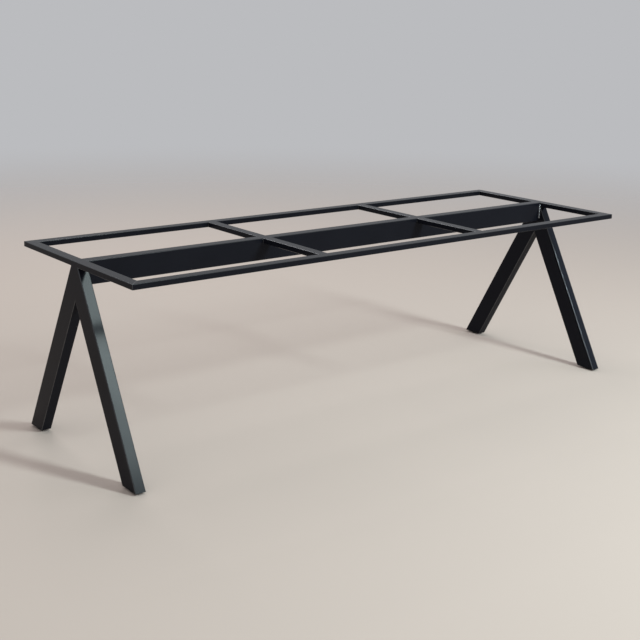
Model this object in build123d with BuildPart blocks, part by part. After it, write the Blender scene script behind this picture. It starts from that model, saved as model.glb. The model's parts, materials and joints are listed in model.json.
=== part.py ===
"""Black steel table base: a rectangular top frame on a centre beam and two A-shaped end legs, on screw glides.

The frame's length lies along X and its width along Y. The origin is on the floor, under the middle of the frame.
"""
import math
import os

from build123d import *

# Overall sizes
FRAME_LENGTH = 2400.0  # over the two end rails
FRAME_WIDTH = 800.0  # over the front and back rails
BASE_HEIGHT = 720.0  # floor to the top of the frame, with the glides screwed in

# Top frame: tube laid flat
RAIL_WIDTH = 40.0
RAIL_HEIGHT = 20.0
RAIL_WALL = 1.5
RAIL_CORNER = 2.0  # outside corner radius
CROSS_BAR_SPACING = 800.0  # between the middles of the two cross bars

# Centre beam: deep box tube, its top level with the frame
BEAM_WIDTH = 45.0
BEAM_HEIGHT = 85.0
BEAM_WALL = 2.0
BEAM_CORNER = 3.0

# Legs: rectangular tube with its wide side in the plane of the A
LEG_WIDTH = 80.0
LEG_DEPTH = 40.0  # along the table
LEG_WALL = 2.0
LEG_CORNER = 3.0
LEG_HEAD_WIDTH = 50.0  # over both legs of one A, just under the end rail
LEG_FOOT_SPREAD = 800.0  # over both legs of one A, at the undersides of the foot plates

# Feet: a plate closes each leg, with a nut welded inside it
FOOT_PLATE = 3.0
NUT_FLATS = 14.0
NUT_HEIGHT = 6.5
PLATE_HOLE_CLEARANCE = 0.5  # round the stud
THREAD_CLEARANCE = 0.1  # round the stud, in the nut

# Levelling glides: a base moulded round a threaded stud
STUD_DIAMETER = 8.0
STUD_LENGTH = 30.0
STUD_SEAT = 2.0  # plastic under the stud
GLIDE_DIAMETER = 30.0
GLIDE_HEIGHT = 8.0
GLIDE_RIM = 5.0  # height of the round foot below the spanner flats
GLIDE_FLATS = 22.0
GLIDE_EDGE = 1.0  # chamfer round the sole

# Levels and places that follow from these sizes
RAIL_LEVEL = BASE_HEIGHT - RAIL_HEIGHT / 2
RAIL_UNDERSIDE = BASE_HEIGHT - RAIL_HEIGHT
PLATE_TOP = GLIDE_HEIGHT + FOOT_PLATE
BEAM_END = FRAME_LENGTH / 2 - max(RAIL_WIDTH, LEG_DEPTH)
LEG_RISE = RAIL_UNDERSIDE - GLIDE_HEIGHT
LEG_SLOPE = (LEG_FOOT_SPREAD - LEG_HEAD_WIDTH) / 2 / LEG_RISE
LEG_TILT = math.atan(LEG_SLOPE)
LEG_LEVEL_WIDTH = LEG_WIDTH / math.cos(LEG_TILT)  # width of the leg where it is cut level
LEG_HALF_LENGTH = LEG_RISE / math.cos(LEG_TILT) / 2 + LEG_WIDTH  # before the ends are cut
FOOT_X = FRAME_LENGTH / 2 - LEG_DEPTH / 2
FOOT_Y = LEG_FOOT_SPREAD / 2 - LEG_LEVEL_WIDTH / 2

LEFT, RIGHT, FRONT, BACK = -1, 1, -1, 1
ENDS = {"left": LEFT, "right": RIGHT}
SIDES = {"front": FRONT, "back": BACK}
CORNERS = {f"{end}_{side}": (x_sign, y_sign) for end, x_sign in ENDS.items() for side, y_sign in SIDES.items()}

os.makedirs("parts", exist_ok=True)


def tube_section(width, height, wall, corner):
    """Draw a rectangular tube's section, with rounded outside corners."""
    RectangleRounded(width, height, corner)
    Rectangle(width - 2 * wall, height - 2 * wall, mode=Mode.SUBTRACT)


def rail_section():
    tube_section(RAIL_WIDTH, RAIL_HEIGHT, RAIL_WALL, RAIL_CORNER)


def mitre_plane(x_sign, y_sign, x_normal, y_normal):
    """Upright plane through a corner of the frame, at 45 degrees."""
    corner = (x_sign * FRAME_LENGTH / 2, y_sign * FRAME_WIDTH / 2, RAIL_LEVEL)
    return Plane(origin=corner, z_dir=(x_normal, y_normal, 0))


def leg_plane(x_sign, y_sign):
    """Plane square to a leg, at half its height, with its own X along the table."""
    half_rise = LEG_RISE / 2
    middle = (x_sign * FOOT_X, y_sign * (FOOT_Y - half_rise * LEG_SLOPE), GLIDE_HEIGHT + half_rise)
    return Plane(origin=middle, x_dir=(1, 0, 0), z_dir=(0, -y_sign * LEG_SLOPE, 1))


def foot_plane(x_sign, y_sign, level):
    """Level plane on the upright axis of a glide."""
    return Plane(origin=(x_sign * FOOT_X, y_sign * FOOT_Y, level))


# Front and back rails, mitred at the frame's corners
for side, y_sign in SIDES.items():
    rail_y = y_sign * (FRAME_WIDTH - RAIL_WIDTH) / 2
    with BuildPart() as long_rail:
        with BuildSketch(Plane(origin=(0, rail_y, RAIL_LEVEL), x_dir=(0, 1, 0), z_dir=(1, 0, 0))):
            rail_section()
        extrude(amount=FRAME_LENGTH / 2, both=True)
        for x_sign in ENDS.values():
            split(bisect_by=mitre_plane(x_sign, y_sign, x_sign, -y_sign), keep=Keep.BOTTOM)
    long_rail.part.label = f"{side}_rail"
    export_step(long_rail.part, f"parts/{side}_rail.step")

# End rails, mitred to match
for end, x_sign in ENDS.items():
    rail_x = x_sign * (FRAME_LENGTH - RAIL_WIDTH) / 2
    with BuildPart() as end_rail:
        with BuildSketch(Plane(origin=(rail_x, 0, RAIL_LEVEL), x_dir=(1, 0, 0), z_dir=(0, -1, 0))):
            rail_section()
        extrude(amount=FRAME_WIDTH / 2, both=True)
        for y_sign in SIDES.values():
            split(bisect_by=mitre_plane(x_sign, y_sign, -x_sign, y_sign), keep=Keep.BOTTOM)
    end_rail.part.label = f"{end}_end_rail"
    export_step(end_rail.part, f"parts/{end}_end_rail.step")

# Centre beam, between the two ends
with BuildPart() as centre_beam:
    beam_middle = (0, 0, BASE_HEIGHT - BEAM_HEIGHT / 2)
    with BuildSketch(Plane(origin=beam_middle, x_dir=(0, 1, 0), z_dir=(1, 0, 0))):
        tube_section(BEAM_WIDTH, BEAM_HEIGHT, BEAM_WALL, BEAM_CORNER)
    extrude(amount=BEAM_END, both=True)
centre_beam.part.label = "centre_beam"
export_step(centre_beam.part, "parts/centre_beam.step")

# Cross bars, each in two halves that butt on the beam and on a long rail
for corner, (x_sign, y_sign) in CORNERS.items():
    bar_length = (FRAME_WIDTH - BEAM_WIDTH) / 2 - RAIL_WIDTH
    bar_start = (x_sign * CROSS_BAR_SPACING / 2, y_sign * BEAM_WIDTH / 2, RAIL_LEVEL)
    with BuildPart() as cross_bar:
        with BuildSketch(Plane(origin=bar_start, x_dir=(1, 0, 0), z_dir=(0, y_sign, 0))):
            rail_section()
        extrude(amount=bar_length)
    cross_bar.part.label = f"{corner}_cross_bar"
    export_step(cross_bar.part, f"parts/{corner}_cross_bar.step")

# Legs: cut level at head and foot, and mitred on each other along the middle of the A
for corner, (x_sign, y_sign) in CORNERS.items():
    with BuildPart() as leg:
        with BuildSketch(leg_plane(x_sign, y_sign)):
            tube_section(LEG_DEPTH, LEG_WIDTH, LEG_WALL, LEG_CORNER)
        extrude(amount=LEG_HALF_LENGTH, both=True)
        split(bisect_by=Plane.XY.offset(RAIL_UNDERSIDE), keep=Keep.BOTTOM)
        split(bisect_by=Plane.XY.offset(PLATE_TOP), keep=Keep.TOP)
        split(bisect_by=Plane(origin=(0, 0, 0), z_dir=(0, y_sign, 0)), keep=Keep.TOP)
    leg.part.label = f"{corner}_leg"
    export_step(leg.part, f"parts/{corner}_leg.step")

# Foot plates: they carry on the legs' slanting sides down to the cut
for corner, (x_sign, y_sign) in CORNERS.items():
    with BuildPart() as foot_plate:
        with BuildSketch(leg_plane(x_sign, y_sign)):
            RectangleRounded(LEG_DEPTH, LEG_WIDTH, LEG_CORNER)
        extrude(amount=LEG_HALF_LENGTH, both=True)
        split(bisect_by=Plane.XY.offset(PLATE_TOP), keep=Keep.BOTTOM)
        split(bisect_by=Plane.XY.offset(GLIDE_HEIGHT), keep=Keep.TOP)
        with BuildSketch(foot_plane(x_sign, y_sign, GLIDE_HEIGHT)):
            Circle(STUD_DIAMETER / 2 + PLATE_HOLE_CLEARANCE)
        extrude(amount=FOOT_PLATE, mode=Mode.SUBTRACT)
    foot_plate.part.label = f"{corner}_foot_plate"
    export_step(foot_plate.part, f"parts/{corner}_foot_plate.step")

# Weld nuts, on the plates inside the legs
for corner, (x_sign, y_sign) in CORNERS.items():
    with BuildPart() as weld_nut:
        with BuildSketch(foot_plane(x_sign, y_sign, PLATE_TOP)):
            RegularPolygon(NUT_FLATS / 2, 6, major_radius=False)
            Circle(STUD_DIAMETER / 2 + THREAD_CLEARANCE, mode=Mode.SUBTRACT)
        extrude(amount=NUT_HEIGHT)
    weld_nut.part.label = f"{corner}_weld_nut"
    export_step(weld_nut.part, f"parts/{corner}_weld_nut.step")

# Glide studs, standing in the bases and running up through plate and nut
for corner, (x_sign, y_sign) in CORNERS.items():
    with BuildPart() as glide_stud:
        with BuildSketch(foot_plane(x_sign, y_sign, STUD_SEAT)):
            Circle(STUD_DIAMETER / 2)
        extrude(amount=STUD_LENGTH)
    glide_stud.part.label = f"{corner}_glide_stud"
    export_step(glide_stud.part, f"parts/{corner}_glide_stud.step")

# Glide bases: a round foot with spanner flats above it, moulded round the stud
for corner, (x_sign, y_sign) in CORNERS.items():
    with BuildPart() as glide_base:
        with BuildSketch(foot_plane(x_sign, y_sign, 0)):
            Circle(GLIDE_DIAMETER / 2)
        extrude(amount=GLIDE_RIM)
        chamfer(glide_base.edges().filter_by(GeomType.CIRCLE).sort_by(Axis.Z)[0], GLIDE_EDGE)
        with BuildSketch(foot_plane(x_sign, y_sign, GLIDE_RIM)):
            RegularPolygon(GLIDE_FLATS / 2, 6, major_radius=False)
        extrude(amount=GLIDE_HEIGHT - GLIDE_RIM)
        with BuildSketch(foot_plane(x_sign, y_sign, STUD_SEAT)):
            Circle(STUD_DIAMETER / 2)
        extrude(amount=GLIDE_HEIGHT - STUD_SEAT, mode=Mode.SUBTRACT)
    glide_base.part.label = f"{corner}_glide_base"
    export_step(glide_base.part, f"parts/{corner}_glide_base.step")
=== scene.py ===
"""Black steel table base on A-shaped legs: its finishes, welds and stud threads, and a stage.

Sizes are in metres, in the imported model's frame: the table's length along X, its front towards -Y
and the floor at Z 0.
"""
import json
import math
from functools import partial

import bmesh
import bpy
from bpy.props import FloatProperty, FloatVectorProperty, IntProperty, PointerProperty
from mathutils import Matrix, Vector


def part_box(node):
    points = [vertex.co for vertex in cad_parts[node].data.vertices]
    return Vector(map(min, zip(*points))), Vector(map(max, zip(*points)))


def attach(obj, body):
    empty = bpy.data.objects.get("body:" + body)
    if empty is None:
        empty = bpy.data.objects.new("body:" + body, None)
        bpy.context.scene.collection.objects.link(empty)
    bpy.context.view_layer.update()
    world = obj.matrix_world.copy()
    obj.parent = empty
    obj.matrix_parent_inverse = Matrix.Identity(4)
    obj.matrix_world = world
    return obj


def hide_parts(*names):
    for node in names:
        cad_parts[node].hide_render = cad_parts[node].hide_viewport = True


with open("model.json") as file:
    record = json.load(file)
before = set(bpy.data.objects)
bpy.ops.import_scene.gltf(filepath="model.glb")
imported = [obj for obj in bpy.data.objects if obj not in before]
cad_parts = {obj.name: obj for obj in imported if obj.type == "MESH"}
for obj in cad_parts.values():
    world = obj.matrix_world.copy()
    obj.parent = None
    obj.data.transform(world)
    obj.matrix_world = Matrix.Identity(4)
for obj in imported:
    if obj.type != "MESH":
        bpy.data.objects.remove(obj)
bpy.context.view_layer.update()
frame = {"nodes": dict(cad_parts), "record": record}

bl_info = {
    "name": "Steel Table Base",
    "version": (1, 0, 0),
    "blender": (4, 5, 0),
    "location": "3D View > Sidebar > Table Base",
    "description": "Finishes, welds and stud threads of a welded steel table base, and a stage",
    "category": "Object",
}

MM = 0.001

# Slots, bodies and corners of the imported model
COAT_SLOT = "black_powder_coat"
ZINC_SLOT = "zinc_steel"
NYLON_SLOT = "black_nylon"
FRAME_BODY = "frame"
SLOT_NODES = {}
for row in frame["record"]["subparts"]:
    SLOT_NODES.setdefault(row["material_slot"], []).append(row["node"])
CORNERS = [node.removesuffix("_leg") for node in frame["nodes"] if node.endswith("_leg")]
ENDS = {"left": -1, "right": 1}
SIDES = {"front": -1, "back": 1}

# Outside corner radii of the tubes, which the grooves at their butt joints take from them
RAIL_CORNER = 2.0 * MM
HEAVY_CORNER = 3.0 * MM
CORNER_STEPS = 4

# Points of a mesh that are this close to a height or a plane lie in it
NEAR = 0.1 * MM


def linear(hex_colour):
    """Turn an sRGB hex colour into linear red, green and blue."""
    channels = [int(hex_colour[start:start + 2], 16) / 255 for start in (1, 3, 5)]
    return tuple(c / 12.92 if c <= 0.04045 else ((c + 0.055) / 1.055) ** 2.4 for c in channels)


def shade(colour, factor=1.0):
    """Make a linear colour darker or lighter, with the alpha that a colour socket takes."""
    return tuple(channel * factor for channel in colour) + (1.0,)


# Settings

class CoatSettings(bpy.types.PropertyGroup):
    """Powder coat on tubes, plates and welds"""
    colour: FloatVectorProperty(
        name="Coat Colour", description="Pigment of the powder coat",
        subtype="COLOR", min=0, max=1, default=linear("#13141a"))
    roughness: FloatProperty(
        name="Coat Roughness", description="Satin level of the baked surface",
        subtype="FACTOR", min=0, max=1, default=0.2)
    index: FloatProperty(
        name="Coat Index", description="Refractive index: how much light the film mirrors",
        min=1, max=2.5, default=1.15)
    # Painted highlight: a brighter metal colour mixed into the coat on rounded corners and welds,
    # so that they catch the light
    edge: FloatVectorProperty(
        name="Edge Colour", description="Metal that gleams through the thin coat on corners",
        subtype="COLOR", min=0, max=1, default=linear("#545557"))
    # Painted highlight: a bright metal colour on the beam's weld beads, so that they shine
    bead: FloatVectorProperty(
        name="Bead Colour", description="Metal that gleams through on the beam's weld beads",
        subtype="COLOR", min=0, max=1, default=linear("#96999c"))
    peel: FloatProperty(
        name="Orange Peel", description="Width of the ripples that the powder leaves as it flows",
        unit="LENGTH", default=2.5 * MM)
    # A lighter weld line along the mitres, which is also a painted highlight on the frame's sharp
    # upright corners
    seam: FloatProperty(
        name="Mitre Line", description="Width of the weld line that shows along the frame's mitres",
        unit="LENGTH", default=4.8 * MM)


class GlideSettings(bpy.types.PropertyGroup):
    """Levelling glides: nylon bases, zinc plated studs and nuts"""
    nylon: FloatVectorProperty(
        name="Nylon Colour", description="Moulded base of the glide",
        subtype="COLOR", min=0, max=1, default=linear("#161617"))
    zinc: FloatVectorProperty(
        name="Zinc Colour", description="Plating of studs and nuts",
        subtype="COLOR", min=0, max=1, default=linear("#b4b7ba"))
    pitch: FloatProperty(
        name="Thread Pitch", description="Advance of the stud in one turn",
        unit="LENGTH", default=1.25 * MM)
    depth: FloatProperty(
        name="Thread Depth", description="Crest to root of the stud's thread",
        unit="LENGTH", default=0.68 * MM)
    point: FloatProperty(
        name="Stud Point", description="Chamfer at the upper end of the stud",
        unit="LENGTH", default=1.0 * MM)
    columns: IntProperty(
        name="Thread Columns", description="Points round one turn of the thread",
        min=8, default=24)


class WeldSettings(bpy.types.PropertyGroup):
    """Weld beads left as they were laid, under the coat"""
    beam_bead: FloatProperty(
        name="Beam Bead", description="Radius of the beads at the beam's ends",
        unit="LENGTH", default=6.0 * MM)
    bar_bead: FloatProperty(
        name="Cross Bar Bead", description="Radius of the beads in the cross bars' corners",
        unit="LENGTH", default=1.6 * MM)
    leg_bead: FloatProperty(
        name="Leg Bead", description="Radius of the beads at the legs' heads and between them",
        unit="LENGTH", default=2.2 * MM)
    ripple_spacing: FloatProperty(
        name="Ripple Spacing", description="Advance of the weld pool from one ripple to the next",
        unit="LENGTH", default=2.2 * MM)
    ripple_depth: FloatProperty(
        name="Ripple Depth", description="Share of the radius lost between ripples",
        subtype="FACTOR", min=0, max=1, default=0.18)
    end_bulge: FloatProperty(
        name="End Bulge", description="Share that the radius grows by where a run ends",
        subtype="FACTOR", min=0, max=1, default=0.45)


class StageSettings(bpy.types.PropertyGroup):
    """Floor, light and camera"""
    floor: FloatVectorProperty(
        name="Floor Colour", description="Plain pale floor",
        subtype="COLOR", min=0, max=1, default=linear("#c0b3ab"))
    backdrop: FloatVectorProperty(
        name="Backdrop Colour", description="What is seen and mirrored beyond the floor",
        subtype="COLOR", min=0, max=1, default=linear("#bbbcbf"))
    ambient: FloatProperty(
        name="Ambient Light", description="Strength of the light from all round",
        min=0, default=0.63)
    key: FloatProperty(
        name="Key Light", description="Radiance of the softbox in front",
        min=0, default=50.0)
    side: FloatProperty(
        name="Side Light", description="Radiance of the cool softbox on the right",
        min=0, default=1.4)
    back: FloatProperty(
        name="Back Light", description="Radiance of the high softbox behind",
        min=0, default=5.5)
    camera_place: FloatVectorProperty(
        name="Camera Place", description="Where the camera stands",
        subtype="TRANSLATION", unit="LENGTH", default=(-2.9134, -3.4616, 1.5772))
    camera_turn: FloatProperty(
        name="Camera Turn", description="Heading, counted from +Y towards -X",
        subtype="ANGLE", default=math.radians(-38.178))
    camera_pitch: FloatProperty(
        name="Camera Pitch", description="Tilt above the horizon",
        subtype="ANGLE", default=math.radians(-13.971))
    camera_roll: FloatProperty(
        name="Camera Roll", description="Turn about the line of sight",
        subtype="ANGLE", default=math.radians(1.261))
    focal_length: FloatProperty(
        name="Focal Length", description="On a sensor 36 mm wide",
        unit="CAMERA", default=63.97)
    camera_shift: FloatVectorProperty(
        name="Camera Shift", description="Offset from the lens's middle, in frame widths",
        size=2, default=(0.022, -0.047))


class TableBaseSettings(bpy.types.PropertyGroup):
    """All settings of the table base"""
    coat: PointerProperty(type=CoatSettings)
    glides: PointerProperty(type=GlideSettings)
    welds: PointerProperty(type=WeldSettings)
    stage: PointerProperty(type=StageSettings)


# Node trees and meshes

def feed(tree, node, inputs):
    """Set or link a node's inputs. A node among the values gives its first output."""
    for socket, value in inputs.items():
        if isinstance(value, bpy.types.Node):
            value = value.outputs[0]
        if isinstance(value, bpy.types.NodeSocket):
            tree.links.new(value, node.inputs[socket])
        else:
            node.inputs[socket].default_value = value


def add_node(tree, kind, inputs=None, **settings):
    """Add a node with its settings and inputs."""
    node = tree.nodes.new(kind)
    for name, value in settings.items():
        setattr(node, name, value)
    feed(tree, node, inputs or {})
    return node


def new_material(name):
    """Start a material: its tree, its shader and the coordinates that its patterns read."""
    material = bpy.data.materials.new(name)
    material.use_nodes = True
    tree = material.node_tree
    read = add_node(tree, "ShaderNodeTexCoord").outputs
    return material, tree, tree.nodes["Principled BSDF"], read


def new_tree(name, sockets):
    """Start a geometry tree with named inputs, given as name: socket type."""
    tree = bpy.data.node_groups.new(name, "GeometryNodeTree")
    for label, kind in sockets.items():
        tree.interface.new_socket(label, in_out="INPUT", socket_type=kind)
    tree.interface.new_socket("Geometry", in_out="OUTPUT", socket_type="NodeSocketGeometry")
    return tree, add_node(tree, "NodeGroupInput").outputs


def plain_mesh(source, tree, values, name):
    """Run a geometry tree on an object once, and keep its result as a plain mesh at the origin."""
    bpy.context.scene.collection.objects.link(source)
    modifier = source.modifiers.new(tree.name, "NODES")
    modifier.node_group = tree
    for item in tree.interface.items_tree:
        if item.in_out == "INPUT" and item.name in values:
            modifier[item.identifier] = values[item.name]
    evaluated = source.evaluated_get(bpy.context.evaluated_depsgraph_get())
    mesh = bpy.data.meshes.new_from_object(evaluated)
    mesh.name = name
    bpy.data.objects.remove(source)
    piece = bpy.data.objects.new(name, mesh)
    bpy.context.scene.collection.objects.link(piece)
    return piece


def carry(piece, body):
    """Let a finished piece move with a body."""
    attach(piece, body)


def dress(slot, material):
    """Give a material to every CAD node of a slot."""
    for node in SLOT_NODES[slot]:
        for material_slot in frame["nodes"][node].material_slots:
            material_slot.material = material


def worn_finish(slot):
    """The material that the CAD nodes of a slot wear."""
    return frame["nodes"][SLOT_NODES[slot][0]].material_slots[0].material


# Sizes of the legs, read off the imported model

def leg_points(corner):
    """Places of all points of a leg's mesh."""
    return [vertex.co for vertex in frame["nodes"][f"{corner}_leg"].data.vertices]


def head_half_width(corner):
    """Half the width of an A's head, just under the end rail."""
    points = leg_points(corner)
    top = max(point.z for point in points)
    return max(abs(point.y) for point in points if point.z > top - NEAR)


def crotch_height(corner):
    """Height of the lowest point where the legs of an A meet."""
    return min(point.z for point in leg_points(corner) if abs(point.y) < NEAR)


def leg_slope(corner):
    """How far a leg runs outwards for its fall, signed along Y."""
    points = leg_points(corner)
    fall = max(point.z for point in points) - min(point.z for point in points)
    foot = max((point.y for point in points), key=abs)
    return (foot - math.copysign(head_half_width(corner), foot)) / fall


# Materials

def powder_coat(settings, name, metal):
    """Satin polyester powder coat, sprayed on steel tube and baked.

    It is nearly black and even, with a soft sheen that brightens at low angles. Its index is set
    below the 1.5 of polyester, so that the flat sides stay as dark as the object's. Up close the
    baked powder has orange peel: shallow ripples that break up the edge of a reflection. They are
    drawn about twice as wide as real ones, so that they show. On the tubes' rounded corners and on
    welds a brighter metal is mixed into the colour, as a painted highlight that makes these edges
    catch the light. Along the mitres a fine lighter weld line is drawn, and it is also a painted
    highlight on the frame's sharp upright corners.
    """
    material, tree, shader, read = new_material(name)
    add = partial(add_node, tree)
    place = read["Object"]
    film_patch = 180 * MM  # width of the patches where the film is thicker or thinner
    satin_change = 0.04  # how much rougher or smoother the film gets there
    peel_height = 0.05 * MM
    gleam_stretch = 30 * MM  # length of the stretches where the painted gleam is stronger or weaker
    weakest_gleam = 0.7  # share of the metal that shows where the painted gleam is weakest
    flat_side, round_side = 0.995, 0.96  # cosines where the painted gleam on corners starts and where it is full
    mitre_gleam = 0.6  # share of the metal that shows along the mitre line, of what the corners' painted highlight shows

    film = add("ShaderNodeTexNoise", {"Vector": place, "Scale": 1 / film_patch, "Detail": 3.0})
    tone = add("ShaderNodeValToRGB", {"Fac": film})
    tone.color_ramp.elements[0].color = shade(settings.colour, 0.8)
    tone.color_ramp.elements[1].color = shade(settings.colour, 1.25)
    satin = add("ShaderNodeMapRange", {
        "Value": film, "To Min": settings.roughness - satin_change,
        "To Max": settings.roughness + satin_change})
    peel = add("ShaderNodeTexNoise", {"Vector": place, "Scale": 1 / settings.peel, "Detail": 1.0})
    ripples = add("ShaderNodeBump", {"Height": peel, "Strength": 0.22, "Distance": peel_height})

    # Flat sides look along an axis or square to a leg: what looks between is a corner or a weld,
    # and gets the painted highlight
    ways = [Vector((1, 0, 0)), Vector((0, 1, 0)), Vector((0, 0, 1))]
    ways += [Vector((0, 1, leg_slope(f"left_{side}"))).normalized() for side in SIDES]
    flat = 0.0
    for way in ways:
        along = add("ShaderNodeVectorMath", {0: read["Normal"], 1: way}, operation="DOT_PRODUCT")
        facing = add("ShaderNodeMath", {0: along.outputs["Value"]}, operation="ABSOLUTE")
        flat = add("ShaderNodeMath", {0: facing, 1: flat}, operation="MAXIMUM")
    corners = add("ShaderNodeMapRange", {
        "Value": flat, "From Min": flat_side, "From Max": round_side})

    # A fine line of ground weld runs along the mitres of the frame's four corners. It is drawn
    # wider than a real one, so that it shows. Where it reaches the sharp upright corners it is also
    # a painted highlight on them.
    low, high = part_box("back_rail")
    away = add("ShaderNodeVectorMath", {0: place}, operation="ABSOLUTE")
    x, y, z = add("ShaderNodeSeparateXYZ", {"Vector": away}).outputs
    lead = add("ShaderNodeMath", {0: x, 1: y}, operation="SUBTRACT")
    past_mitre = add("ShaderNodeMath", {0: lead, 1: high.x - high.y}, operation="SUBTRACT")
    off_mitre = add("ShaderNodeMath", {0: past_mitre}, operation="ABSOLUTE")
    line = add("ShaderNodeMapRange", {
        "Value": off_mitre, "From Min": settings.seam / 2, "From Max": settings.seam / 6,
        "To Max": mitre_gleam})
    far_out = add("ShaderNodeMath", {0: y, 1: low.y - MM}, operation="GREATER_THAN")
    high_up = add("ShaderNodeMath", {0: z, 1: low.z - MM}, operation="GREATER_THAN")
    on_rails = add("ShaderNodeMath", {0: far_out, 1: high_up}, operation="MULTIPLY")
    mitres = add("ShaderNodeMath", {0: line, 1: on_rails}, operation="MULTIPLY")

    # Painted highlight: corners, welds and the mitre line get a brighter metal mixed into their
    # colour and made metallic, so that they mirror more light; its strength changes at random along
    # them
    thin = add("ShaderNodeMath", {0: corners, 1: mitres}, operation="MAXIMUM")
    gleam_noise = add("ShaderNodeTexNoise", {"Vector": place, "Scale": 1 / gleam_stretch, "Detail": 2.0})
    gleam_strength = add("ShaderNodeMapRange", {
        "Value": gleam_noise, "From Min": 0.35, "From Max": 0.6, "To Min": weakest_gleam})
    painted_gleam_and_seam = add("ShaderNodeMath", {0: thin, 1: gleam_strength}, operation="MULTIPLY")
    painted_gleam_tone = add("ShaderNodeMixRGB", {"Fac": painted_gleam_and_seam, "Color1": tone, "Color2": shade(metal)})
    feed(tree, shader, {
        "Base Color": painted_gleam_tone, "Metallic": painted_gleam_and_seam, "Roughness": satin, "Normal": ripples,
        "IOR": settings.index})
    return material


def zinc_plate(settings):
    """Bright zinc plating on drawn steel: pale grey metal with a slightly cloudy sheen."""
    material, tree, shader, read = new_material("bright_zinc_plate")
    add = partial(add_node, tree)
    cloud_width = 3.0 * MM
    cloud = add("ShaderNodeTexNoise", {
        "Vector": read["Object"], "Scale": 1 / cloud_width, "Detail": 4.0})
    tone = add("ShaderNodeValToRGB", {"Fac": cloud})
    tone.color_ramp.elements[0].color = shade(settings.zinc, 0.75)
    tone.color_ramp.elements[1].color = shade(settings.zinc, 1.1)
    sheen = add("ShaderNodeMapRange", {"Value": cloud, "To Min": 0.28, "To Max": 0.5})
    feed(tree, shader, {"Base Color": tone, "Roughness": sheen, "Metallic": 1.0})
    return material


def moulded_nylon(settings):
    """Black nylon from a spark-eroded mould: matt, with a fine even grain.

    The grain is drawn twice as coarse as it is, so that it shows.
    """
    material, tree, shader, read = new_material("moulded_black_nylon")
    add = partial(add_node, tree)
    grain_width = 0.8 * MM
    pit_depth = 0.1 * MM
    grain = add("ShaderNodeTexNoise", {
        "Vector": read["Object"], "Scale": 1 / grain_width, "Detail": 2.0})
    tone = add("ShaderNodeValToRGB", {"Fac": grain})
    tone.color_ramp.elements[0].color = shade(settings.nylon, 0.85)
    tone.color_ramp.elements[1].color = shade(settings.nylon, 1.2)
    pits = add("ShaderNodeBump", {"Height": grain, "Strength": 0.4, "Distance": pit_depth})
    feed(tree, shader, {"Base Color": tone, "Normal": pits, "Roughness": 0.58, "IOR": 1.53})
    return material


def pale_floor(settings):
    """Matt pale floor that fades into the backdrop far from the table, as a studio cove does."""
    material, tree, shader, read = new_material("pale_floor")
    add = partial(add_node, tree)
    fade_start, fade_end = 2.0, 9.0  # distances from the middle of the table
    reach = add("ShaderNodeVectorMath", {0: read["Object"]}, operation="LENGTH")
    fade = add("ShaderNodeMapRange", {
        "Value": reach.outputs["Value"], "From Min": fade_start, "From Max": fade_end},
        interpolation_type="SMOOTHSTEP")
    clear = add("ShaderNodeBsdfTransparent")
    cove = add("ShaderNodeMixShader", {0: fade, 1: shader, 2: clear})
    feed(tree, tree.nodes["Material Output"], {"Surface": cove})
    feed(tree, shader, {
        "Base Color": shade(settings.floor), "Roughness": 0.9, "Specular IOR Level": 0.2})
    return material


# Weld beads

SINK = 0.25  # share of a bead's radius that its middle lies inside each of the faces it joins
RIPPLE_RINGS = 6.0  # rings of points along one ripple
BEAD_COLUMNS = 14  # points round a bead
BEAD_PATCH = 9.0 * MM  # length of the stretches where a bead is fatter or leaner
BEAD_CHANGE = 0.5  # share of the radius from the leanest stretch to the fattest
THIN_END = 0.5  # share of the radius that a run starts and stops with
BULGE_LENGTH = 3.0  # length of the bulge where a run ends, in radii


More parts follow.
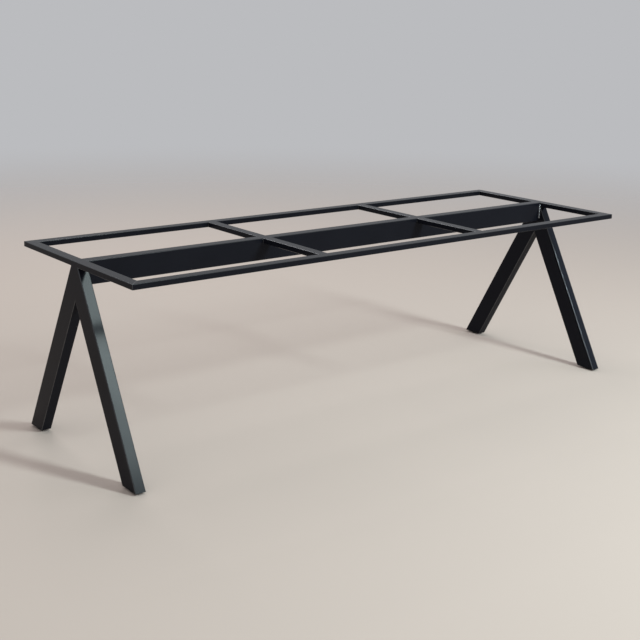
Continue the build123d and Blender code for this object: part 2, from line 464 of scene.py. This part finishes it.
def bead_tree():
    """Sweep a rippled round bead along each path, with a bulge where its run ends."""
    tree, given = new_tree("weld_bead", {
        "Geometry": "NodeSocketGeometry", "Bead Radius": "NodeSocketFloat",
        "Ripple Spacing": "NodeSocketFloat", "Ripple Depth": "NodeSocketFloat",
        "End Bulge": "NodeSocketFloat", "Material": "NodeSocketMaterial"})
    add = partial(add_node, tree)
    radius, spacing = given["Bead Radius"], given["Ripple Spacing"]
    step = add("ShaderNodeMath", {0: spacing, 1: RIPPLE_RINGS}, operation="DIVIDE")
    run = add("GeometryNodeResampleCurve", {
        "Curve": given["Geometry"], "Length": step}, mode="LENGTH")
    along = add("GeometryNodeSplineParameter").outputs["Length"]
    total = add("GeometryNodeSplineLength")
    left = add("ShaderNodeMath", {0: total, 1: along}, operation="SUBTRACT")

    # Ripples: scales that widen along the run and end in a step, a little uneven
    place = add("GeometryNodeInputPosition")
    patches = add("ShaderNodeTexNoise", {"Vector": place, "Scale": 1 / BEAD_PATCH, "Detail": 1.0})
    patch = add("ShaderNodeMath", {0: patches, 1: 0.5}, operation="SUBTRACT")
    uneven = add("ShaderNodeMath", {0: patch, 1: BEAD_CHANGE}, operation="MULTIPLY")
    count = add("ShaderNodeMath", {0: along, 1: spacing}, operation="DIVIDE")
    scale_part = add("ShaderNodeMath", {0: count}, operation="FRACT")
    scale_rest = add("ShaderNodeMath", {0: 1.0, 1: scale_part}, operation="SUBTRACT")
    lost = add("ShaderNodeMath", {0: scale_rest, 1: given["Ripple Depth"]}, operation="MULTIPLY")
    even = add("ShaderNodeMath", {0: 1.0, 1: lost}, operation="SUBTRACT")
    rippled = add("ShaderNodeMath", {0: even, 1: uneven}, operation="ADD")

    # The run starts and stops thin, and bulges before it stops
    bulge_length = add("ShaderNodeMath", {0: radius, 1: BULGE_LENGTH}, operation="MULTIPLY")
    start, stop, bulge = [
        add("ShaderNodeMapRange", {
            "Value": distance, "From Max": reach, "To Min": first, "To Max": last},
            interpolation_type="SMOOTHSTEP")
        for distance, reach, first, last in (
            (along, radius, THIN_END, 1.0),
            (left, radius, THIN_END, 1.0),
            (left, bulge_length, given["End Bulge"], 0.0),
        )]
    swollen = add("ShaderNodeMath", {0: 1.0, 1: bulge}, operation="ADD")
    grown = add("ShaderNodeMath", {0: rippled, 1: swollen}, operation="MULTIPLY")
    ends = add("ShaderNodeMath", {0: start, 1: stop}, operation="MULTIPLY")
    scale = add("ShaderNodeMath", {0: grown, 1: ends}, operation="MULTIPLY")

    ring = add("GeometryNodeCurvePrimitiveCircle", {"Resolution": BEAD_COLUMNS, "Radius": radius})
    bead = add("GeometryNodeCurveToMesh", {
        "Curve": run, "Profile Curve": ring, "Scale": scale, "Fill Caps": True})
    smooth = add("GeometryNodeSetShadeSmooth", {"Geometry": bead})
    whole = add("GeometryNodeRealizeInstances", {"Geometry": smooth})
    coated = add("GeometryNodeSetMaterial", {"Geometry": whole, "Material": given["Material"]})
    add("NodeGroupOutput", {"Geometry": coated})
    return tree


def path_object(paths):
    """Make a curve object of straight runs, each from its first point to its last."""
    curve = bpy.data.curves.new("weld_paths", "CURVE")
    curve.dimensions = "3D"
    for points in paths:
        spline = curve.splines.new("POLY")
        spline.points.add(len(points) - 1)
        for spot, point in zip(spline.points, points):
            spot.co = (*point, 1.0)
    return bpy.data.objects.new("weld_paths", curve)


def beam_paths(radius):
    """Upright runs down both sides of the beam at each end, and one across under it."""
    low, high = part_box("centre_beam")
    sunk = SINK * radius
    paths = []
    for end in ENDS.values():
        x = end * (high.x + sunk)
        bottom = low.z + sunk
        for side in SIDES.values():
            y = side * (high.y - sunk)
            paths.append([(x, y, high.z - radius), (x, y, low.z + 2 * radius)])
        paths.append([(x, low.y + radius, bottom), (x, high.y - radius, bottom)])
    return paths


def bar_paths(radius):
    """Short upright runs in the corners where the cross bars meet the beam and the long rails."""
    sunk = SINK * radius
    paths = []
    for corner in CORNERS:
        low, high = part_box(f"{corner}_cross_bar")
        for y in (low.y - sunk, high.y + sunk):
            for x in (low.x + sunk, high.x - sunk):
                paths.append([(x, y, high.z - 2 * radius), (x, y, low.z + 2 * radius)])
    return paths


def leg_paths(radius):
    """Level runs along the table: under the end rail beside each leg's head, and in each crotch."""
    paths = []
    for corner in CORNERS:
        low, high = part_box(f"{corner}_leg")
        slope = leg_slope(corner)
        side = math.copysign(1, slope)
        down_leg = Vector((0, slope, -1)).normalized()
        between = (down_leg + Vector((0, side, 0))).normalized()
        head = Vector((0, side * head_half_width(corner), high.z))
        spots = [head + between * radius * (1 - SINK)]
        if side == SIDES["front"]:
            spots.append(Vector((0, 0, crotch_height(corner) - radius)))
        for spot in spots:
            paths.append([(low.x + radius, spot.y, spot.z), (high.x - radius, spot.y, spot.z)])
    return paths


# Ground welds

def rounded_outline(width, height, radius):
    """Points round a rectangle with rounded corners, about its middle."""
    points = []
    for quarter, (x_sign, y_sign) in enumerate(((1, 1), (-1, 1), (-1, -1), (1, -1))):
        middle = Vector((x_sign * (width / 2 - radius), y_sign * (height / 2 - radius)))
        for step in range(CORNER_STEPS + 1):
            angle = (quarter + step / CORNER_STEPS) * math.pi / 2
            points.append(middle + radius * Vector((math.cos(angle), math.sin(angle))))
    return points


def add_prism(shape, outline, step):
    """Add a closed prism: an outline of points, pushed along a step."""
    near = [shape.verts.new(point) for point in outline]
    far = [shape.verts.new(point + step) for point in outline]
    shape.faces.new(near)
    shape.faces.new(reversed(far))
    for index, corner in enumerate(near):
        following = (index + 1) % len(near)
        shape.faces.new((corner, far[index], far[following], near[following]))


def ground_weld_mesh():
    """Weld metal that fills the grooves round the tubes' butt ends and is ground level with them.

    Each weld carries on the section of the tube that butts, as far as the other tube's corner is
    rounded.
    """
    shape = bmesh.new()
    for corner in CORNERS:
        low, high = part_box(f"{corner}_cross_bar")
        middle, size = (low + high) / 2, high - low
        section = rounded_outline(size.x, size.z, RAIL_CORNER)
        side = SIDES[corner.split("_")[1]]
        beam_end, rail_end = (high.y, low.y) if side < 0 else (low.y, high.y)
        for y, step in ((rail_end, side * RAIL_CORNER), (beam_end, -side * HEAVY_CORNER)):
            outline = [Vector((middle.x + u, y, middle.z + v)) for u, v in section]
            add_prism(shape, outline, Vector((0, step, 0)))
    low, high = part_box("centre_beam")
    middle, size = (low + high) / 2, high - low
    section = rounded_outline(size.y, size.z, HEAVY_CORNER)
    for end in ENDS.values():
        outline = [Vector((end * high.x, middle.y + u, middle.z + v)) for u, v in section]
        add_prism(shape, outline, Vector((end * RAIL_CORNER, 0, 0)))
    for end in ENDS:
        low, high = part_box(f"{end}_front_leg")
        head_width = 2 * head_half_width(f"{end}_front")
        section = rounded_outline(high.x - low.x, head_width, HEAVY_CORNER)
        outline = [Vector(((low.x + high.x) / 2 + u, v, high.z)) for u, v in section]
        add_prism(shape, outline, Vector((0, 0, RAIL_CORNER)))
    bmesh.ops.recalc_face_normals(shape, faces=shape.faces)
    mesh = bpy.data.meshes.new("ground_welds")
    shape.to_mesh(mesh)
    shape.free()
    return mesh


# Stud threads

PITCH_ROWS = 8.0  # rows of points along one pitch of the thread


def thread_tree():
    """Cut a thread and a point into an upright rod: the ridge climbs by its pitch in each turn."""
    tree, given = new_tree("stud_thread", {
        "Length": "NodeSocketFloat", "Radius": "NodeSocketFloat", "Pitch": "NodeSocketFloat",
        "Depth": "NodeSocketFloat", "Point": "NodeSocketFloat", "Columns": "NodeSocketInt",
        "Middle": "NodeSocketVector", "Material": "NodeSocketMaterial"})
    add = partial(add_node, tree)
    length, radius, pitch = given["Length"], given["Radius"], given["Pitch"]
    turns = add("ShaderNodeMath", {0: length, 1: pitch}, operation="DIVIDE")
    rows = add("ShaderNodeMath", {0: turns, 1: PITCH_ROWS}, operation="MULTIPLY")
    rod = add("GeometryNodeMeshCylinder", {
        "Vertices": given["Columns"], "Side Segments": rows, "Radius": radius, "Depth": length})
    place = add("GeometryNodeInputPosition")
    x, y, z = add("ShaderNodeSeparateXYZ", {"Vector": place}).outputs

    # The ridge: the height in pitches, less the turn about the axis, says how deep the cut is
    angle = add("ShaderNodeMath", {0: y, 1: x}, operation="ARCTAN2")
    turned = add("ShaderNodeMath", {0: angle, 1: math.tau}, operation="DIVIDE")
    climbed = add("ShaderNodeMath", {0: z, 1: pitch}, operation="DIVIDE")
    ahead = add("ShaderNodeMath", {0: climbed, 1: turned}, operation="SUBTRACT")
    climb = add("ShaderNodeMath", {0: ahead}, operation="FRACT")
    slant = add("ShaderNodeMath", {0: climb, 1: 2.0, 2: -1.0}, operation="MULTIPLY_ADD")
    ridge = add("ShaderNodeMath", {0: slant}, operation="ABSOLUTE")
    groove = add("ShaderNodeMath", {0: 1.0, 1: ridge}, operation="SUBTRACT")
    cut = add("ShaderNodeMath", {0: groove, 1: given["Depth"]}, operation="MULTIPLY")
    threaded = add("ShaderNodeMath", {0: radius, 1: cut}, operation="SUBTRACT")

    # The point: a chamfer on which the radius falls as fast as the height rises
    top = add("ShaderNodeMath", {0: length, 1: 0.5}, operation="MULTIPLY")
    to_top = add("ShaderNodeMath", {0: top, 1: z}, operation="SUBTRACT")
    blunt = add("ShaderNodeMath", {0: radius, 1: given["Point"]}, operation="SUBTRACT")
    pointed = add("ShaderNodeMath", {0: blunt, 1: to_top}, operation="ADD")
    least = add("ShaderNodeMath", {0: threaded, 1: pointed}, operation="MINIMUM")
    reach = add("ShaderNodeMath", {0: least, 1: radius}, operation="DIVIDE")

    cut_x = add("ShaderNodeMath", {0: x, 1: reach}, operation="MULTIPLY")
    cut_y = add("ShaderNodeMath", {0: y, 1: reach}, operation="MULTIPLY")
    spot = add("ShaderNodeCombineXYZ", {"X": cut_x, "Y": cut_y, "Z": z})
    cut_rod = add("GeometryNodeSetPosition", {"Geometry": rod, "Position": spot})
    smooth = add("GeometryNodeSetShadeSmooth", {
        "Geometry": cut_rod, "Selection": rod.outputs["Side"]})
    placed = add("GeometryNodeTransform", {"Geometry": smooth, "Translation": given["Middle"]})
    whole = add("GeometryNodeRealizeInstances", {"Geometry": placed})
    plated = add("GeometryNodeSetMaterial", {"Geometry": whole, "Material": given["Material"]})
    add("NodeGroupOutput", {"Geometry": plated})
    return tree


# Stage

FLOOR_RADIUS = 40.0
FLOOR_SEGMENTS = 96
SENSOR_WIDTH = 36.0  # in millimetres, as lenses are
LIT_POINT = (0.0, 0.0, 0.4)

# Softboxes: place, width, height and colour. The front face of the left front leg mirrors the key
# softbox, and the front rail's dark image crosses it there.
LAMPS = {
    "key": ((1.65, -4.6, 4.0), 0.8, 2.5, "#e8fbfb"),
    "side": ((5.0, -2.8, 2.3), 2.0, 2.0, "#c8dcff"),
    "back": ((0.5, 4.0, 4.6), 2.6, 1.8, "#ffffff"),
}


def add_lamp(name, place, width, height, colour, radiance):
    """Add a large soft rectangular lamp that faces the table."""
    light = bpy.data.lights.new(name, "AREA")
    light.shape = "RECTANGLE"
    light.size = width
    light.size_y = height
    light.energy = radiance * math.pi * width * height
    light.color = linear(colour)
    lamp = bpy.data.objects.new(name, light)
    lamp.location = place
    aim = Vector(LIT_POINT) - Vector(place)
    lamp.rotation_euler = aim.to_track_quat("-Z", "Y").to_euler()
    bpy.context.scene.collection.objects.link(lamp)


def light_world(settings):
    """Fill the surroundings: a plain colour where they are seen or mirrored, and soft light."""
    world = bpy.data.worlds.new("studio")
    world.use_nodes = True
    tree = world.node_tree
    tree.nodes.clear()
    add = partial(add_node, tree)
    path = add("ShaderNodeLightPath").outputs
    seen = add("ShaderNodeMath", {
        0: path["Is Camera Ray"], 1: path["Is Glossy Ray"]}, operation="MAXIMUM")
    shown = add("ShaderNodeMath", {0: seen, 1: path["Is Transmission Ray"]}, operation="MAXIMUM")
    white = (1.0, 1.0, 1.0, 1.0)
    ambient = add("ShaderNodeBackground", {"Color": white, "Strength": settings.ambient})
    backdrop = add("ShaderNodeBackground", {"Color": shade(settings.backdrop)})
    mix = add("ShaderNodeMixShader", {0: shown, 1: ambient, 2: backdrop})
    add("ShaderNodeOutputWorld", {"Surface": mix})
    bpy.context.scene.world = world


def add_floor(settings):
    """Lay a wide round floor under the glides."""
    shape = bmesh.new()
    bmesh.ops.create_circle(shape, cap_ends=True, segments=FLOOR_SEGMENTS, radius=FLOOR_RADIUS)
    mesh = bpy.data.meshes.new("floor")
    shape.to_mesh(mesh)
    shape.free()
    mesh.materials.append(pale_floor(settings))
    floor = bpy.data.objects.new("floor", mesh)
    bpy.context.scene.collection.objects.link(floor)


def add_camera(settings):
    """Stand the camera at the viewing angle of the photograph."""
    data = bpy.data.cameras.new("camera")
    data.sensor_width = SENSOR_WIDTH
    data.lens = settings.focal_length
    data.shift_x, data.shift_y = settings.camera_shift
    camera = bpy.data.objects.new("camera", data)
    upright = Matrix.Rotation(math.pi / 2 + settings.camera_pitch, 4, "X")
    heading = Matrix.Rotation(settings.camera_turn, 4, "Z")
    roll = Matrix.Rotation(settings.camera_roll, 4, "Z")
    camera.matrix_world = Matrix.Translation(settings.camera_place) @ heading @ upright @ roll
    bpy.context.scene.collection.objects.link(camera)
    bpy.context.scene.camera = camera


# Operators

class TABLEBASE_OT_coat_steel(bpy.types.Operator):
    """Give every tube and foot plate its black powder coat"""
    bl_idname = "table_base.coat_steel"
    bl_label = "Coat Steel"

    def execute(self, context):
        settings = context.scene.table_base.coat
        # The edge colour is a painted highlight on the tubes' corners and welds
        dress(COAT_SLOT, powder_coat(settings, "satin_black_powder_coat", settings.edge))
        return {"FINISHED"}


class TABLEBASE_OT_finish_glides(bpy.types.Operator):
    """Give the glides' bases their nylon, and studs and nuts their zinc"""
    bl_idname = "table_base.finish_glides"
    bl_label = "Finish Glides"

    def execute(self, context):
        settings = context.scene.table_base.glides
        dress(NYLON_SLOT, moulded_nylon(settings))
        dress(ZINC_SLOT, zinc_plate(settings))
        return {"FINISHED"}


class TABLEBASE_OT_thread_studs(bpy.types.Operator):
    """Put a threaded stud in the place of each plain one"""
    bl_idname = "table_base.thread_studs"
    bl_label = "Thread Studs"

    def execute(self, context):
        settings = context.scene.table_base.glides
        tree = thread_tree()
        for corner in CORNERS:
            node = f"{corner}_glide_stud"
            low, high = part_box(node)
            blank = bpy.data.objects.new("stud_blank", bpy.data.meshes.new("stud_blank"))
            stud = plain_mesh(blank, tree, {
                "Length": high.z - low.z, "Radius": (high.x - low.x) / 2, "Pitch": settings.pitch,
                "Depth": settings.depth, "Point": settings.point, "Columns": settings.columns,
                "Middle": (low + high) / 2, "Material": worn_finish(ZINC_SLOT),
            }, f"{corner}_threaded_stud")
            carry(stud, f"{corner}_glide")
            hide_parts(node)
        return {"FINISHED"}


class TABLEBASE_OT_lay_beads(bpy.types.Operator):
    """Lay the weld beads that are left as they are, under the coat"""
    bl_idname = "table_base.lay_beads"
    bl_label = "Lay Weld Beads"

    def execute(self, context):
        settings = context.scene.table_base.welds
        coat = context.scene.table_base.coat
        # The beam's beads wear a coat with a painted highlight: bright metal mixed into its colour
        weld_highlight_coat = powder_coat(coat, "powder_coat_with_painted_highlight_on_welds", coat.bead)
        tree = bead_tree()
        runs = {
            "beam_welds": (settings.beam_bead, beam_paths, weld_highlight_coat),
            "cross_bar_welds": (settings.bar_bead, bar_paths, worn_finish(COAT_SLOT)),
            "leg_welds": (settings.leg_bead, leg_paths, worn_finish(COAT_SLOT)),
        }
        for name, (radius, paths, material) in runs.items():
            beads = plain_mesh(path_object(paths(radius)), tree, {
                "Bead Radius": radius, "Ripple Spacing": settings.ripple_spacing,
                "Ripple Depth": settings.ripple_depth, "End Bulge": settings.end_bulge,
                "Material": material,
            }, name)
            carry(beads, FRAME_BODY)
        return {"FINISHED"}


class TABLEBASE_OT_grind_welds(bpy.types.Operator):
    """Fill the grooves at the butt joints and grind them level"""
    bl_idname = "table_base.grind_welds"
    bl_label = "Grind Welds Level"

    def execute(self, context):
        mesh = ground_weld_mesh()
        mesh.materials.append(worn_finish(COAT_SLOT))
        welds = bpy.data.objects.new("ground_welds", mesh)
        context.scene.collection.objects.link(welds)
        carry(welds, FRAME_BODY)
        return {"FINISHED"}


class TABLEBASE_OT_set_stage(bpy.types.Operator):
    """Set the floor, the lamps, the surroundings and the camera"""
    bl_idname = "table_base.set_stage"
    bl_label = "Set Stage"

    def execute(self, context):
        settings = context.scene.table_base.stage
        context.scene.view_settings.view_transform = "Standard"
        add_floor(settings)
        light_world(settings)
        for name, (place, width, height, colour) in LAMPS.items():
            add_lamp(name, place, width, height, colour, getattr(settings, name))
        add_camera(settings)
        return {"FINISHED"}


OPERATORS = {
    "coat": (TABLEBASE_OT_coat_steel,),
    "glides": (TABLEBASE_OT_finish_glides, TABLEBASE_OT_thread_studs),
    "welds": (TABLEBASE_OT_lay_beads, TABLEBASE_OT_grind_welds),
    "stage": (TABLEBASE_OT_set_stage,),
}


class VIEW3D_PT_table_base(bpy.types.Panel):
    """Settings and steps of the table base"""
    bl_label = "Table Base"
    bl_space_type = "VIEW_3D"
    bl_region_type = "UI"
    bl_category = "Table Base"

    def draw(self, context):
        for group, operators in OPERATORS.items():
            settings = getattr(context.scene.table_base, group)
            box = self.layout.box()
            for name in settings.__annotations__:
                box.prop(settings, name)
            for operator in operators:
                box.operator(operator.bl_idname)


CLASSES = (
    CoatSettings, GlideSettings, WeldSettings, StageSettings, TableBaseSettings,
    *(operator for operators in OPERATORS.values() for operator in operators),
    VIEW3D_PT_table_base,
)


def register():
    """Register the classes, and keep the settings in the scene."""
    for cls in CLASSES:
        bpy.utils.register_class(cls)
    bpy.types.Scene.table_base = PointerProperty(type=TableBaseSettings)


def unregister():
    """Take the settings and the classes away again."""
    del bpy.types.Scene.table_base
    for cls in reversed(CLASSES):
        bpy.utils.unregister_class(cls)


def main():
    """Finish the table base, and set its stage."""
    register()
    bpy.ops.table_base.coat_steel()
    bpy.ops.table_base.finish_glides()
    bpy.ops.table_base.thread_studs()
    bpy.ops.table_base.lay_beads()
    bpy.ops.table_base.grind_welds()
    bpy.ops.table_base.set_stage()


if __name__ == "__main__":
    main()
